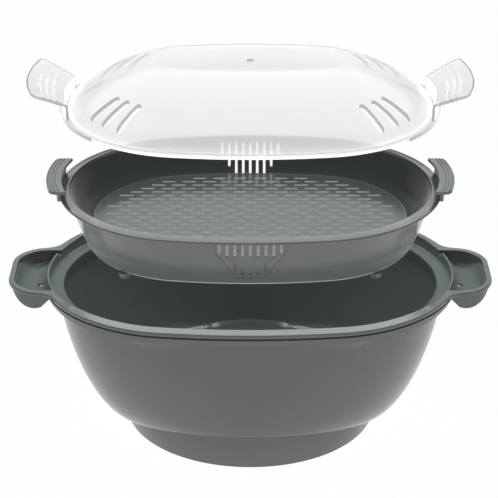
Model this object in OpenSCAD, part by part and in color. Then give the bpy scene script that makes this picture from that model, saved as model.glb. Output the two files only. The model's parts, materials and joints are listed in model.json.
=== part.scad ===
// Oval steamer set for a cooking food processor: a deep bowl, a slotted tray that
// sits inside its lip, and a clear domed lid. The three pieces are drawn lifted apart.

/* [Show] */
// Which sub-part to draw

/* [Oval plan] */
// Half length of the oval that the tray, the lid and the bowl's wall follow
oval_half_length = 154; // [120:0.1:190]
// Half width of that oval, and of the oval inside the bowl's lip
oval_half_width = 110.8; // [90:0.1:140]
// Radius of that oval's round ends
oval_end_radius = 107.2; // [80:0.1:138]
// Room inside the bowl's lip past that oval, at each long end
end_room = 9.3; // [6:0.1:14]
// Distance in from that oval to the bowl's opening, at each long end
opening_inset = 2.4; // [1:0.1:5]

/* [Bowl] */
// Height of the bowl from the table to the top of its lip
bowl_height = 125.2; // [90:0.1:160]
// Width of the flat lip
lip_width = 6; // [4:0.25:9]
// Height of the lip's upright face
lip_face = 3.6; // [2.5:0.1:5]
// Width of the ledge that the tray rests on, at the front and back
ledge_width = 6; // [4:0.25:9]
// Depth of the ledge below the top of the lip
ledge_depth = 8.5; // [7:0.25:12]
// Thickness of the bowl's wall
bowl_wall = 2.6; // [2:0.1:4]
// Outside radius of the round foot
foot_radius = 103; // [80:0.5:120]
// Thickness of the foot's wall
foot_wall = 3.2; // [2.4:0.1:5]
// Height of the foot where the wall meets it at the front and back
foot_front_height = 29.2; // [18:0.1:36]
// Height of the foot where the wall meets it at the two long ends
foot_end_height = 4.7; // [1.5:0.1:8]
// Height of the bowl's floor above the table
floor_height = 24.2; // [16:0.1:27]
// Thickness of the bowl's floor
floor_plate = 2.6; // [2:0.1:4]

/* [Bowl handles] */
// Length of a handle from the inside of the lip to its tip
handle_length = 31.7; // [28:0.1:45]
// Width of a handle, front to back
handle_width = 85; // [60:1:110]
// Radius of a handle's outer corners seen from above
handle_corner = 28; // [15:0.5:36]
// Radius of the sweep from a handle into the lip
handle_sweep = 16; // [8:0.5:24]
// Width of the lip round a handle
handle_lip = 4.6; // [3.5:0.1:6]
// Outside radius of a handle's round trough
trough_radius = 18.5; // [15:0.25:22]
// Depth of the trough below the top of the lip
trough_depth = 15; // [11:0.5:17]
// Thickness of the trough's wall
trough_wall = 2.3; // [1.8:0.1:3]
// Thickness of the fin between a trough and the ledge
fin_thickness = 2; // [1.4:0.1:3]
// Width of the gap at the rear end of the fin
fin_gap = 6; // [3:0.5:10]
// Diameter of the drain hole in a trough
drain_diameter = 6; // [5:0.5:10]

/* [Tray] */
// Height of the tray's rim above the table while it is lifted out
tray_lifted = 200.8; // [180:0.1:260]
// Gap round the tray's flange inside the lip
tray_gap = 1.2; // [0.6:0.1:2]
// Width of the tray's flange
flange_width = 8; // [7:0.25:10]
// Thickness of the tray's flange
flange_thickness = 3.2; // [2.4:0.1:4.5]
// Thickness of the tray's wall
tray_wall_thickness = 2.2; // [1.6:0.1:3]
// Depth of the gutter round the tray's floor, outside, below the rim
tray_depth = 46.5; // [38:0.5:50]
// Depth of the tray's floor below its rim
tray_floor_depth = 25.5; // [20:0.5:34]
// Thickness of the tray's floor
tray_floor_plate = 2.4; // [1.8:0.1:3.5]
// Width of the gutter's sloping side below the floor's edge
gutter_slope = 6.2; // [5:0.1:9]
// Distance from the inside of the rim in to the edge of the floor
tray_floor_inset = 21; // [16:0.5:26]
// Radius of a foot stud under the tray
tray_stud_radius = 4.2; // [3:0.1:6]
// Height of a foot stud under the tray
tray_stud_height = 4.5; // [3:0.25:7]
// Distance of a foot stud from the middle, along the tray
tray_stud_place = 98; // [70:0.5:110]

/* [Tray slots] */
// Rows of slots in the tray's floor
slot_rows = 21; // [11:2:25]
// Distance from row to row
slot_row_pitch = 7.2; // [6:0.1:9]
// Distance from slot to slot along a row
slot_pitch = 16.9; // [14:0.1:20]
// Length of a slot
slot_length = 11.4; // [8:0.1:13]
// Width of a slot
slot_width = 2.3; // [1.5:0.1:3]
// Slots in the grille at the front and at the back of the tray
grille_slots = 9; // [5:2:11]
// Distance from grille slot to grille slot
grille_pitch = 5.9; // [5:0.1:7]
// Width of a grille slot
grille_slot_width = 2.2; // [1.4:0.1:3]
// Length of the grille's outermost slots
grille_short = 11.5; // [6:0.5:14]
// Length of the grille's middle slots
grille_long = 32.5; // [20:0.5:36]
// Difference in length from one grille slot to the next
grille_step = 8.5; // [4:0.5:10]
// Least distance from the floor's edge to a slot in it
slot_edge = 4.7; // [3:0.1:10]

/* [Tray grips] */
// Length of a grip, front to back
grip_length = 69; // [40:1:80]
// Reach of a grip outside the oval
grip_reach = 8.4; // [6:0.1:9]
// Height of a grip above the rim
grip_height = 8.1; // [7.4:0.1:11]
// Thickness of a grip's plate
grip_plate = 2.5; // [2:0.1:2.8]
// Thickness of the upright under a grip
grip_upright = 2.4; // [1.8:0.1:2.6]
// Length of the upright under a grip, front to back
grip_upright_length = 55; // [30:1:69]

/* [Lid] */
// Height of the lid's rim above the table while it is lifted off
lid_lifted = 265.6; // [240:0.1:360]
// Gap between the lid's flange and the tray's grips
lid_gap = 3.2; // [0.5:0.1:5]
// Width of the lid's flange
lid_flange_width = 6; // [5:0.25:8]
// Thickness of the lid's clear plastic
lid_thickness = 2.2; // [1.6:0.1:3]
// Height of the dome above its rim
dome_height = 42; // [26:0.5:50]
// Distance from the dome's edge in to its flat crown
crown_inset = 72; // [50:0.5:80]
// Depth of the locating rib under the lid
rib_depth = 3; // [2:0.25:5]
// Diameter of the vent at the crown
vent_diameter = 6.5; // [4:0.5:10]
// Distance of the vent from the middle of the crown, towards the front
vent_place = 6.5; // [0:0.5:20]
// Length of a steam slot in the lid
steam_slot_length = 23; // [16:0.5:30]
// Width of a steam slot in the lid
steam_slot_width = 5.8; // [3:0.1:7]

/* [Lid tabs] */
// Width of a tab, front to back
tab_width = 68; // [40:1:80]
// Reach of a tab outside the oval
tab_reach = 20; // [14:0.5:28]
// Height of the upright below a tab
tab_upright = 15; // [12:0.5:20]
// Rise from the root of a tab to its tip
tab_rise = 12; // [4:0.5:18]
// Radius of a tab's outer edge seen from above
tab_edge_radius = 135; // [60:1:180]

/* [Hidden] */
$fn = 96;
plastic = [0.42, 0.45, 0.43];
clear_plastic = [0.9, 0.94, 0.95, 0.4];

// An oval of four arcs: [end centre, front centre, end radius, front radius].
function plan(half_length, half_width, end_radius) =
    let (c = half_length - end_radius,
         rise = pow(c, 2) + pow(half_width, 2) - pow(end_radius, 2),
         front_radius = rise / (2 * (half_width - end_radius)))
    [c, front_radius - half_width, end_radius, front_radius];

lip_half_length = oval_half_length + end_room;
lip_end_radius = oval_end_radius - 0.15;
opening_half_length = oval_half_length - opening_inset;
opening_end_radius = oval_end_radius - ledge_width;
handle_reach = lip_half_length + handle_length;
tray_plan = plan(oval_half_length, oval_half_width, oval_end_radius);
lip_plan = plan(lip_half_length, oval_half_width, lip_end_radius);
opening_plan = plan(opening_half_length, oval_half_width - ledge_width, opening_end_radius);
end_centre = tray_plan[0];

rim_bottom = bowl_height - lip_face;
ledge_top = bowl_height - ledge_depth;
wall_top = rim_bottom - 2.8;
skirt_bottom = ledge_top - 3.7;
outer_wall_offset = lip_width - 2.8;
body_foot_radius = foot_radius + 2.5;
foot_top = foot_front_height + 1.6;
trough_centre_x = handle_reach - trough_radius - 2;
trough_centre_z = bowl_height - trough_depth + trough_radius;

flange_offset = -tray_gap;
tray_inner_offset = flange_offset - flange_width;
tray_outer_offset = tray_inner_offset + tray_wall_thickness;
floor_offset = tray_inner_offset - tray_floor_inset;
gutter_offset = floor_offset + gutter_slope;
stud_y = sqrt(pow(oval_end_radius + floor_offset + 6, 2) - pow(tray_stud_place - end_centre, 2));

grip_inner_offset = flange_offset - 0.6;
lid_offset = grip_inner_offset - lid_gap;
dome_offset = lid_offset - lid_flange_width;
// Each steam slot's distance in from the oval's end and from its side, and its turn
steam_slot_insets = [[44, 60.3, 16], [52.6, 50.8, 28], [63, 41.8, 40]];

// Distance from the middle to an oval, at an offset, in the direction of an angle.
function oval_reach(plan, offset, angle) =
    let (c = abs(cos(angle)), s = abs(sin(angle)),
         end_r = plan[2] + offset,
         front_r = plan[3] + offset,
         far = norm([plan[0], plan[1]]),
         join_x = plan[0] + end_r * plan[0] / far,
         join_y = end_r * plan[1] / far)
    s * join_x <= c * join_y
        ? plan[0] * c + sqrt(pow(end_r, 2) - pow(plan[0] * s, 2))
        : -plan[1] * s + sqrt(pow(front_r, 2) - pow(plan[1] * c, 2));

// The part of the plan that belongs to one round end, and to the front or back.
module end_wedge(plan, side) {
    edge = 2 * [plan[0], plan[1]];
    far = 2 * (plan[0] + plan[2]);
    polygon([[side * plan[0], 0], [side * (plan[0] + edge.x), edge.y], [side * (far + edge.x), edge.y],
             [side * (far + edge.x), -edge.y], [side * (plan[0] + edge.x), -edge.y]]);
}

module front_wedge(plan, side) {
    edge = 2 * [plan[0], plan[1]];
    polygon([[-plan[0], 0], [plan[0], 0],
             [plan[0] + edge.x, side * edge.y], [-plan[0] - edge.x, side * edge.y]]);
}

// Flat oval at an offset: two round ends, and a front and a back part.
module oval(plan, offset) {
    for (side = [-1, 1]) {
        translate([side * plan[0], 0]) circle(plan[2] + offset);
        intersection() {
            translate([0, -side * plan[1]]) circle(plan[3] + offset, $fn = 256);
            front_wedge(plan, side);
        }
    }
}

// Filled solid on the tray's oval, its edge a profile of [offset, height] from its bottom to its top.
module oval_solid(profile) {
    bottom = profile[0].y;
    top = profile[len(profile) - 1].y;
    end_edge = [for (p = profile) [tray_plan[2] + p.x, p.y]];
    front_edge = [for (p = profile) [tray_plan[3] + p.x, p.y]];
    for (side = [-1, 1]) {
        translate([side * tray_plan[0], 0, 0])
            rotate_extrude() polygon(concat([[0, bottom]], end_edge, [[0, top]]));
        intersection() {
            translate([0, -side * tray_plan[1], 0])
                rotate_extrude($fn = 256)
                    polygon(concat([[tray_plan[1], bottom]], front_edge, [[tray_plan[1], top]]));
            translate([0, 0, bottom - 1]) linear_extrude(top - bottom + 2) front_wedge(tray_plan, side);
        }
    }
}

// A profile (x out from the oval, y up) taken all the way round the tray's oval.
module oval_sweep() {
    tall = 200;
    for (side = [-1, 1]) {
        intersection() {
            translate([side * tray_plan[0], 0, 0])
                rotate_extrude() translate([tray_plan[2], 0]) children();
            linear_extrude(tall, center = true) end_wedge(tray_plan, side);
        }
        intersection() {
            translate([0, -side * tray_plan[1], 0])
                rotate_extrude($fn = 256) translate([tray_plan[3], 0]) children();
            linear_extrude(tall, center = true) front_wedge(tray_plan, side);
        }
    }
}

// A profile taken round part of the right-hand end, over a length from front to back.
module end_sweep(length, offset) {
    half = asin(length / 2 / (oval_end_radius + offset));
    translate([end_centre, 0, 0])
        rotate([0, 0, -half])
            rotate_extrude(angle = 2 * half)
                translate([oval_end_radius, 0]) children();
}

// A slot seen from above, with clipped corners.
module slot(length, width) {
    cut = width * 0.3;
    x = length / 2;
    y = width / 2;
    polygon([[-x, -y + cut], [-x + cut, -y], [x - cut, -y], [x, -y + cut],
             [x, y - cut], [x - cut, y], [-x + cut, y], [-x, y - cut]]);
}

// Closed skin through a stack of rings, the last ring joined to the first.
module ring_loft(rings) {
    count = len(rings);
    around = len(rings[0]);
    points = [for (ring = rings) for (p = ring) p];
    faces = [for (i = [0:count - 1]) for (j = [0:around - 1])
        let (a = i * around + j, b = i * around + (j + 1) % around,
             c = ((i + 1) % count) * around + (j + 1) % around, d = ((i + 1) % count) * around + j)
        for (f = [[a, b, c], [a, c, d]]) f];
    polyhedron(points, faces);
}

// Share of the way in that the bowl's wall has come, at a share of its way down.
function wall_in(down) = 1 - pow(1 - pow(down, 1.4), 0.54);
function crease_height(angle) =
    foot_end_height + (foot_front_height - foot_end_height) * pow(abs(sin(angle)), 1.5);
function ring_angles(count) = [for (j = [0:count - 1]) 360 * j / count];
function level_ring(plan, offset, z, count) =
    [for (a = ring_angles(count)) oval_reach(plan, offset, a) * [cos(a), sin(a), 0] + [0, 0, z]];
// Outside of the band under the lip, drawn in to the fin inside each handle.
function band_ring(offset, z, count) =
    [for (a = ring_angles(count))
        let (in_handle = abs(sin(a)) * oval_reach(lip_plan, 0, a) < handle_width / 2 - handle_lip,
             r = oval_reach(lip_plan, in_handle ? min(offset, fin_thickness) : offset, a))
        [r * cos(a), r * sin(a), z]];
function wall_ring(offset, top_z, foot_r, lift, down, count) =
    [for (a = ring_angles(count))
        let (top_r = oval_reach(tray_plan, offset, a), bottom_z = crease_height(a) + lift,
             r = top_r + (foot_r - top_r) * wall_in(down))
        [r * cos(a), r * sin(a), top_z + (bottom_z - top_z) * down]];

module bowl_shell() {
    around = 96;
    steps = 9;
    inner = outer_wall_offset - bowl_wall;
    down = [for (i = [0:steps]) 1 - pow(1 - i / steps, 1.8)];
    below_skirt = 0.075;
    below_ledge = 0.11;
    foot_touch = (foot_radius + 0.05) / cos(180 / around);
    outer_down = concat([below_skirt], [for (d = down) if (d > below_ledge) d]);
    inner_down = concat([below_ledge], [for (d = down) if (d > below_ledge) d]);
    outer_rings = [for (d = outer_down)
        wall_ring(outer_wall_offset, wall_top, body_foot_radius, 0, d, around)];
    foot_rings = [wall_ring(outer_wall_offset, wall_top, foot_touch, 0, 1, around)];
    inner_rings = [for (i = [len(inner_down) - 1:-1:0])
        wall_ring(inner, wall_top, foot_touch, 1.4, inner_down[i], around)];
    top_rings = [
        level_ring(opening_plan, 0, ledge_top - 2.4, around),
        level_ring(opening_plan, 0, ledge_top, around),
        level_ring(lip_plan, 0, ledge_top, around),
        level_ring(lip_plan, 0, rim_bottom, around),
        band_ring(lip_width - 1.8, rim_bottom, around),
        band_ring(lip_width - 1.8, rim_bottom - 0.8, around),
        band_ring(lip_width - 1, rim_bottom - 1.1, around),
        band_ring(lip_width - 1, rim_bottom - 2.3, around),
        band_ring(lip_width - 3.4, rim_bottom - 2.8, around),
        band_ring(lip_width - 3.4, skirt_bottom, around)];
    color(plastic) ring_loft(concat(outer_rings, foot_rings, inner_rings, top_rings));
}

// Outline of the right-hand handle, drawn in from its edge by an inset.
module handle_outline(inset) {
    corner = handle_corner - inset;
    x = handle_reach - inset;
    y = handle_width / 2 - inset;
    start = lip_half_length - 24;
    translate([start, -y]) square([x - corner - start, 2 * y]);
    translate([x - corner - 1, corner - y]) square([corner + 1, 2 * (y - corner)]);
    for (s = [-1, 1]) translate([x - corner, s * (y - corner)]) circle(corner);
}

// The sweeps that carry the lip into the right-hand handle.
module handle_sweeps() {
    lip_r = lip_end_radius + lip_width;
    lip_centre = lip_plan[0];
    y = handle_width / 2;
    centre_y = y + handle_sweep;
    apart = lip_r + handle_sweep - 0.15;
    centre_x = lip_centre + sqrt(pow(apart, 2) - pow(centre_y, 2));
    touch = lip_r / apart;
    touch_x = lip_centre + (centre_x - lip_centre) * touch;
    for (s = [-1, 1])
        difference() {
            polygon([[touch_x - 6, s * (y - 4)], [centre_x, s * (y - 4)], [centre_x, s * centre_y],
                     [touch_x, s * centre_y * touch]]);
            translate([centre_x, s * centre_y]) circle(handle_sweep);
        }
}

module bowl_rim() {
    color(plastic)
        difference() {
            union() {
                translate([0, 0, rim_bottom]) linear_extrude(lip_face) oval(lip_plan, lip_width);
                for (side = [0, 1])
                    mirror([side, 0, 0])
                        translate([0, 0, rim_bottom]) {
                            linear_extrude(lip_face) handle_outline(0);
                            linear_extrude(lip_face) handle_sweeps();
                        }
            }
            translate([0, 0, rim_bottom - 1]) linear_extrude(lip_face + 2) oval(lip_plan, 0);
            for (side = [0, 1])
                mirror([side, 0, 0])
                    translate([0, 0, rim_bottom - 1]) {
                        difference() {
                            linear_extrude(lip_face + 2) handle_outline(handle_lip);
                            translate([0, 0, -1]) linear_extrude(lip_face + 4) oval(lip_plan, fin_thickness);
                        }
                        translate([lip_half_length - 20, handle_width / 2 - handle_lip - fin_gap, 0])
                            cube([20, fin_gap, lip_face + 2]);
                    }
        }
}

module bowl_floor() {
    rows = floor((foot_radius - foot_wall - 18) / slot_row_pitch);
    reach = foot_radius - foot_wall - 16;
    color(plastic)
        translate([0, 0, floor_height - floor_plate])
            linear_extrude(floor_plate)
                difference() {
                    circle(foot_radius - foot_wall);
                    for (row = [-rows:rows]) {
                        y = row * slot_row_pitch;
                        shift = row % 2 == 0 ? 0 : slot_pitch / 2;
                        half = sqrt(pow(reach, 2) - pow(y, 2)) - slot_length / 2;
                        for (i = [-8:8])
                            if (abs(i * slot_pitch + shift) <= half)
                                translate([i * slot_pitch + shift, y]) slot(slot_length, slot_width);
                    }
                }
}

module foot_ring() {
    color(plastic)
        difference() {
            cylinder(r = foot_radius, h = foot_top);
            translate([0, 0, -1]) cylinder(r = foot_radius - foot_wall, h = foot_top + 2);
        }
}

// Round trough that runs front to back under the right-hand handle.
module trough(radius, inset) {
    intersection() {
        translate([trough_centre_x, 0, trough_centre_z])
            rotate([90, 0, 0]) cylinder(r = radius, h = 2 * handle_width, center = true);
        translate([0, 0, bowl_height - trough_depth - 5])
            linear_extrude(rim_bottom - bowl_height + trough_depth + 5) handle_outline(inset);
    }
}

module handle_right() {
    drain_x = trough_centre_x - 4;
    drain_y = -3;
    under = bowl_height - trough_depth - 10;
    clear_of_fin = handle_width / 2 - handle_lip - 14;
    color(plastic)
        difference() {
            trough(trough_radius, 1.2);
            translate([0, 0, 0.01]) trough(trough_radius - trough_wall, 1.2 + handle_lip - 1.8);
            translate([drain_x, drain_y, under]) cylinder(d = drain_diameter, h = 30);
            translate([0, 0, under]) linear_extrude(30) oval(lip_plan, fin_thickness + 0.05);
            for (s = [-1, 1])
                intersection() {
                    translate([0, 0, under]) linear_extrude(30) oval(lip_plan, lip_width - 0.95);
                    translate([0, s * (clear_of_fin + handle_width) - handle_width, under])
                        cube([2 * lip_half_length, 2 * handle_width, 2 * trough_radius]);
                }
        }
}

module handle_left() {
    mirror([1, 0, 0]) handle_right();
}

// Share of the way in that the tray's wall has come, at a share of its way down.
function tray_wall_in(down) = 1 - pow(1 - down, 0.8);
function tray_wall_point(top, bottom, depth, down) =
    [top + (bottom - top) * tray_wall_in(down), -flange_thickness - (depth - flange_thickness) * down];

module tray_wall() {
    t = tray_wall_thickness;
    steps = [for (i = [0:8]) 1 - pow(1 - i / 8, 1.7)];
    outer = [for (d = steps) tray_wall_point(tray_outer_offset - 1.6, gutter_offset, tray_depth, d)];
    inner = [for (i = [8:-1:0])
        tray_wall_point(tray_inner_offset - 1.6, gutter_offset - 1.6, tray_depth - t, steps[i])];
    riser = [[floor_offset + 1.8, -tray_depth], [floor_offset, -tray_floor_depth - tray_floor_plate],
             [floor_offset, -tray_floor_depth], [floor_offset + t, -tray_floor_depth],
             [floor_offset + 1.8 + t, t - tray_depth]];
    color(plastic)
        difference() {
            translate([0, 0, tray_lifted]) oval_sweep() polygon(concat(outer, riser, inner));
            grille_cuts();
        }
}

// Slots through the tray's front and back walls, longest in the middle.
module grille_cuts() {
    middle = (grille_slots - 1) / 2;
    for (side = [-1, 1])
        for (i = [0:grille_slots - 1]) {
            from_edge = middle - abs(i - middle);
            length = min(grille_short + grille_step * from_edge, grille_long);
            translate([(i - middle) * grille_pitch - grille_slot_width / 2,
                       side > 0 ? oval_half_width - 24 : -oval_half_width,
                       tray_lifted - flange_thickness - 1 - length])
                cube([grille_slot_width, 24, length]);
        }
}

module tray_rim() {
    color(plastic)
        translate([0, 0, tray_lifted])
            difference() {
                oval_solid([[flange_offset, -flange_thickness], [flange_offset, -0.6],
                            [flange_offset - 0.6, 0]]);
                oval_solid([[tray_inner_offset - 1.6, -flange_thickness - 1],
                            [tray_inner_offset - 1.6, -flange_thickness], [tray_inner_offset, -0.6],
                            [tray_inner_offset + 0.6, 0], [tray_inner_offset + 0.6, 1]]);
            }
}

module tray_floor() {
    middle = (slot_rows - 1) / 2;
    reach = oval_end_radius + floor_offset - slot_edge;
    color(plastic)
        translate([0, 0, tray_lifted - tray_floor_depth - tray_floor_plate])
            linear_extrude(tray_floor_plate)
                difference() {
                    oval(tray_plan, floor_offset);
                    for (row = [0:slot_rows - 1]) {
                        y = (row - middle) * slot_row_pitch;
                        shift = row % 2 == 0 ? slot_pitch / 2 : 0;
                        half = end_centre + sqrt(pow(reach, 2) - pow(y, 2)) - slot_length / 2;
                        for (i = [-8:8])
                            if (abs(i * slot_pitch + shift) <= half)
                                translate([i * slot_pitch + shift, y]) slot(slot_length, slot_width);
                    }
                }
}

module tray_grip_right() {
    top = grip_height;
    plate_bottom = grip_height - grip_plate;
    out = grip_reach;
    inside = grip_inner_offset;
    groove = 0.5;
    step = (out - inside) / 4.6;
    grooves = [for (i = [4:-1:2]) for (p = [[0.5, 0], [0.2, -groove], [-0.2, -groove], [-0.5, 0]])
        [inside + i * step + p[0], top + p[1]]];
    color(plastic)
        translate([0, 0, tray_lifted])
            difference() {
                union() {
                    end_sweep(grip_length, out)
                        polygon(concat([[inside, plate_bottom], [out - 0.8, plate_bottom],
                                        [out, plate_bottom + 0.8], [out, top - 0.8], [out - 0.8, top]],
                                       grooves,
                                       [[inside + 0.8, top], [inside, top - 0.8]]));
                    end_sweep(grip_upright_length, inside)
                        translate([flange_offset + 0.05, -flange_thickness])
                            square([grip_upright, flange_thickness + plate_bottom + 1]);
                }
                translate([oval_half_length + inside + 1.4, -0.4, top - 0.8 * groove])
                    cube([out - inside, 0.8, 2]);
            }
}

module tray_grip_left() {
    mirror([1, 0, 0]) tray_grip_right();
}

module tray_stud(x, y) {
    color(plastic)
        translate([x, y, tray_lifted - tray_depth - tray_stud_height]) {
            cylinder(r1 = tray_stud_radius - 1.4, r2 = tray_stud_radius, h = 1.4);
            translate([0, 0, 1.4]) cylinder(r = tray_stud_radius, h = tray_stud_height - 1.4);
        }
}

module tray_stud_front_left() {
    tray_stud(-tray_stud_place, -stud_y);
}

module tray_stud_front_right() {
    tray_stud(tray_stud_place, -stud_y);
}

module tray_stud_back_left() {
    tray_stud(-tray_stud_place, stud_y);
}

module tray_stud_back_right() {
    tray_stud(tray_stud_place, stud_y);
}

// Height of the dome at a share of the way in from its edge to its flat crown.
function dome_rise(share) = pow(1 - pow(1 - share, 1.5), 1 / 1.5);

module lid_dome() {
    steps = [for (i = [0:9]) pow(i / 9, 1.6)];
    outside = [for (s = steps)
        [dome_offset - crown_inset * s, lid_thickness + (dome_height - lid_thickness) * dome_rise(s)]];
    inside = [for (s = steps)
        [dome_offset - lid_thickness - (crown_inset - lid_thickness) * s,
         (dome_height - lid_thickness) * dome_rise(s)]];
    color(clear_plastic)
        translate([0, 0, lid_lifted])
            difference() {
                oval_solid(concat([[dome_offset, 0]], outside));
                oval_solid(concat([[dome_offset - lid_thickness, -1]], inside));
                steam_slots();
                translate([0, -vent_place, 0]) cylinder(d = vent_diameter, h = 2 * dome_height);
            }
}

// Three slots at each corner of the dome, fanned a little.
module steam_slots() {
    for (sx = [-1, 1]) for (sy = [-1, 1]) for (slot_at = steam_slot_insets)
        translate([sx * (oval_half_length - slot_at[0]), sy * (oval_half_width - slot_at[1]), 4])
            rotate([0, 0, sx * sy * slot_at[2]])
                linear_extrude(dome_height) slot(steam_slot_length, steam_slot_width);
}

module lid_flange() {
    rib_outside = dome_offset - 0.3;
    rib_inside = rib_outside - 1.6;
    web = dome_offset + 0.8;
    bead = lid_offset - 1.4;
    color(clear_plastic)
        translate([0, 0, lid_lifted])
            difference() {
                oval_solid([[rib_outside, -rib_depth], [rib_outside, -0.8], [web, -0.8], [web, 0],
                            [lid_offset, 0], [lid_offset, lid_thickness + 0.8]]);
                oval_solid([[rib_inside, -rib_depth - 1], [rib_inside, 0], [dome_offset, 0],
                            [dome_offset, lid_thickness], [bead, lid_thickness],
                            [bead, lid_thickness + 1.8]]);
            }
}

module lid_tab_right() {
    root = lid_offset - 1.6 - lid_thickness;
    base = lid_thickness;
    rise = tab_rise / (tab_reach - root);
    ridge_places = [5, 10, 15];
    function at(x) = tab_upright + (x - root) * rise;
    ridges = [for (i = [len(ridge_places) - 1:-1:0])
        for (p = [[0.9, 0], [0.4, 0.7], [-0.4, 0.7], [-0.9, 0]])
            let (x = root + 4 + ridge_places[i] + p[0])
            [x, at(x) + p[1]]];
    color(clear_plastic)
        translate([0, 0, lid_lifted])
            intersection() {
                end_sweep(tab_width, lid_offset)
                    polygon(concat([[root, base], [root + lid_thickness, base],
                                    [root + lid_thickness, at(root + lid_thickness) - lid_thickness],
                                    [tab_reach, at(tab_reach) - lid_thickness], [tab_reach, at(tab_reach)]],
                                   ridges,
                                   [[root, at(root)]]));
                translate([oval_half_length + tab_reach - tab_edge_radius, 0, 0])
                    cylinder(r = tab_edge_radius, h = 2 * (tab_upright + tab_rise));
            }
}

module lid_tab_left() {
    mirror([1, 0, 0]) lid_tab_right();
}

bowl_shell();
bowl_rim();
bowl_floor();
foot_ring();
handle_left();
handle_right();
tray_wall();
tray_rim();
tray_floor();
tray_grip_left();
tray_grip_right();
tray_stud_front_left();
tray_stud_front_right();
tray_stud_back_left();
tray_stud_back_right();
lid_dome();
lid_flange();
lid_tab_left();
lid_tab_right();
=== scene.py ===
import json
import math

import bmesh
import bpy
from mathutils import Matrix, Vector

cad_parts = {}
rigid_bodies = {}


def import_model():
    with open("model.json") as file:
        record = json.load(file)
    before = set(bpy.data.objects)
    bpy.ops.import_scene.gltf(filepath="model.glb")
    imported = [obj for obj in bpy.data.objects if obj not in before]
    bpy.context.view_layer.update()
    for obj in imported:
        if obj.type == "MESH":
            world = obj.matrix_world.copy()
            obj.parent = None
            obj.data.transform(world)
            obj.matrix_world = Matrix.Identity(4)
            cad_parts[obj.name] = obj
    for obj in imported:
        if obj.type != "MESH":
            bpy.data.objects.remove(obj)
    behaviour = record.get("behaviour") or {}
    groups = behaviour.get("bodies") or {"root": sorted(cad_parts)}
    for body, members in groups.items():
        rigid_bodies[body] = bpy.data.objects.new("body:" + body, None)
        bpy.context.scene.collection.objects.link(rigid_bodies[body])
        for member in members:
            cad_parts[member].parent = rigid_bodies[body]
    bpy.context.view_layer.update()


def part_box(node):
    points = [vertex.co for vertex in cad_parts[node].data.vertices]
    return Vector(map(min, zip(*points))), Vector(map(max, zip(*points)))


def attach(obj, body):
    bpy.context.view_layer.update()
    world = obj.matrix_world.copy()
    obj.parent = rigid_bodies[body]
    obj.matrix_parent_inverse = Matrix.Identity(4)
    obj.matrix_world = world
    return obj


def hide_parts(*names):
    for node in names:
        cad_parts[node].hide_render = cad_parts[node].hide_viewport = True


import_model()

MM = 0.001

# Plan ovals: half length, half width and end radius, in millimetres
OVAL_HALF_LENGTH = 154.0
OVAL_HALF_WIDTH = 110.8
OVAL_END_RADIUS = 107.2
LIP_HALF_LENGTH = 163.3
LIP_END_RADIUS = 107.05
OPENING_HALF_LENGTH = 151.6
OPENING_END_RADIUS = 101.2

# Bowl
BOWL_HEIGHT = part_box("bowl_rim")[1][2] / MM
LIP_WIDTH = 6.0
LIP_FACE = 3.6
LIP_SLOPE = 2.2
LEDGE_WIDTH = 6.0
LEDGE_DEPTH = 8.5
BOWL_WALL = 2.6
FOOT_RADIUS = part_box("foot_ring")[1][0] / MM
FOOT_WALL = 3.2
FOOT_FRONT_HEIGHT = 29.2
FOOT_END_HEIGHT = 4.7
FLOOR_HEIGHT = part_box("bowl_floor")[1][2] / MM
FLOOR_PLATE = 2.6

# Bowl handles
HANDLE_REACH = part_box("bowl_rim")[1][0] / MM
HANDLE_WIDTH = 85.0
HANDLE_CORNER = 28.0
HANDLE_SWEEP = 16.0
HANDLE_LIP = 4.6
TROUGH_RADIUS = 18.5
TROUGH_DEPTH = 15.0
TROUGH_WALL = 2.3
FIN_THICKNESS = 2.0
FIN_GAP = 6.0
DRAIN_DIAMETER = 6.0
DRAIN_INWARD = 4.0
DRAIN_Y = -3.0

# Tray
TRAY_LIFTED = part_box("tray_rim")[1][2] / MM
TRAY_GAP = 1.2
FLANGE_WIDTH = 8.0
FLANGE_THICKNESS = 3.2
RIM_SLOPE = 1.7
TRAY_WALL = 2.2
TRAY_DEPTH = 46.5
TRAY_FLOOR_DEPTH = 25.5
TRAY_FLOOR_PLATE = 2.4
TRAY_FLOOR_INSET = 21.0
STUD_RADIUS = 4.2
STUD_HEIGHT = 4.5
STUD_PLACE = 98.0
SLOT_ROWS = 21
SLOT_ROW_PITCH = 7.2
SLOT_PITCH = 16.9
SLOT_LENGTH = 11.4
SLOT_WIDTH = 2.3
SLOT_EDGE = 4.7
GRILLE_SLOTS = 9
GRILLE_PITCH = 5.9
GRILLE_SLOT_WIDTH = 2.2
GRILLE_SHORT = 11.5
GRILLE_LONG = 32.5
GRILLE_STEP = 8.5
GRIP_LENGTH = 69.0
GRIP_REACH = 8.4
GRIP_HEIGHT = 8.1
GRIP_PLATE = 2.5
GRIP_UPRIGHT = 2.4
GRIP_UPRIGHT_LENGTH = 55.0

# Lid
LID_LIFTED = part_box("lid_dome")[0][2] / MM
LID_GAP = 3.2
LID_FLANGE_WIDTH = 6.0
LID_THICKNESS = 2.2
DOME_HEIGHT = 42.0
CROWN_INSET = 72.0
RIB_DEPTH = 3.0
VENT_DIAMETER = 6.5
VENT_PLACE = 6.5
STEAM_SLOT_LENGTH = 23.0
STEAM_SLOT_WIDTH = 5.8
STEAM_SLOTS = ((110.0, 50.5, 16.0), (101.4, 60.0, 28.0), (91.0, 69.0, 40.0))
TAB_WIDTH = 68.0
TAB_REACH = 20.0
TAB_UPRIGHT = 15.0
TAB_RISE = 12.0
TAB_EDGE_RADIUS = 135.0
TAB_CORNER = 4.5

# Points round an oval, and round a lathe
AROUND = 360
AROUND_ROUND = 64


# Ovals

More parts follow.
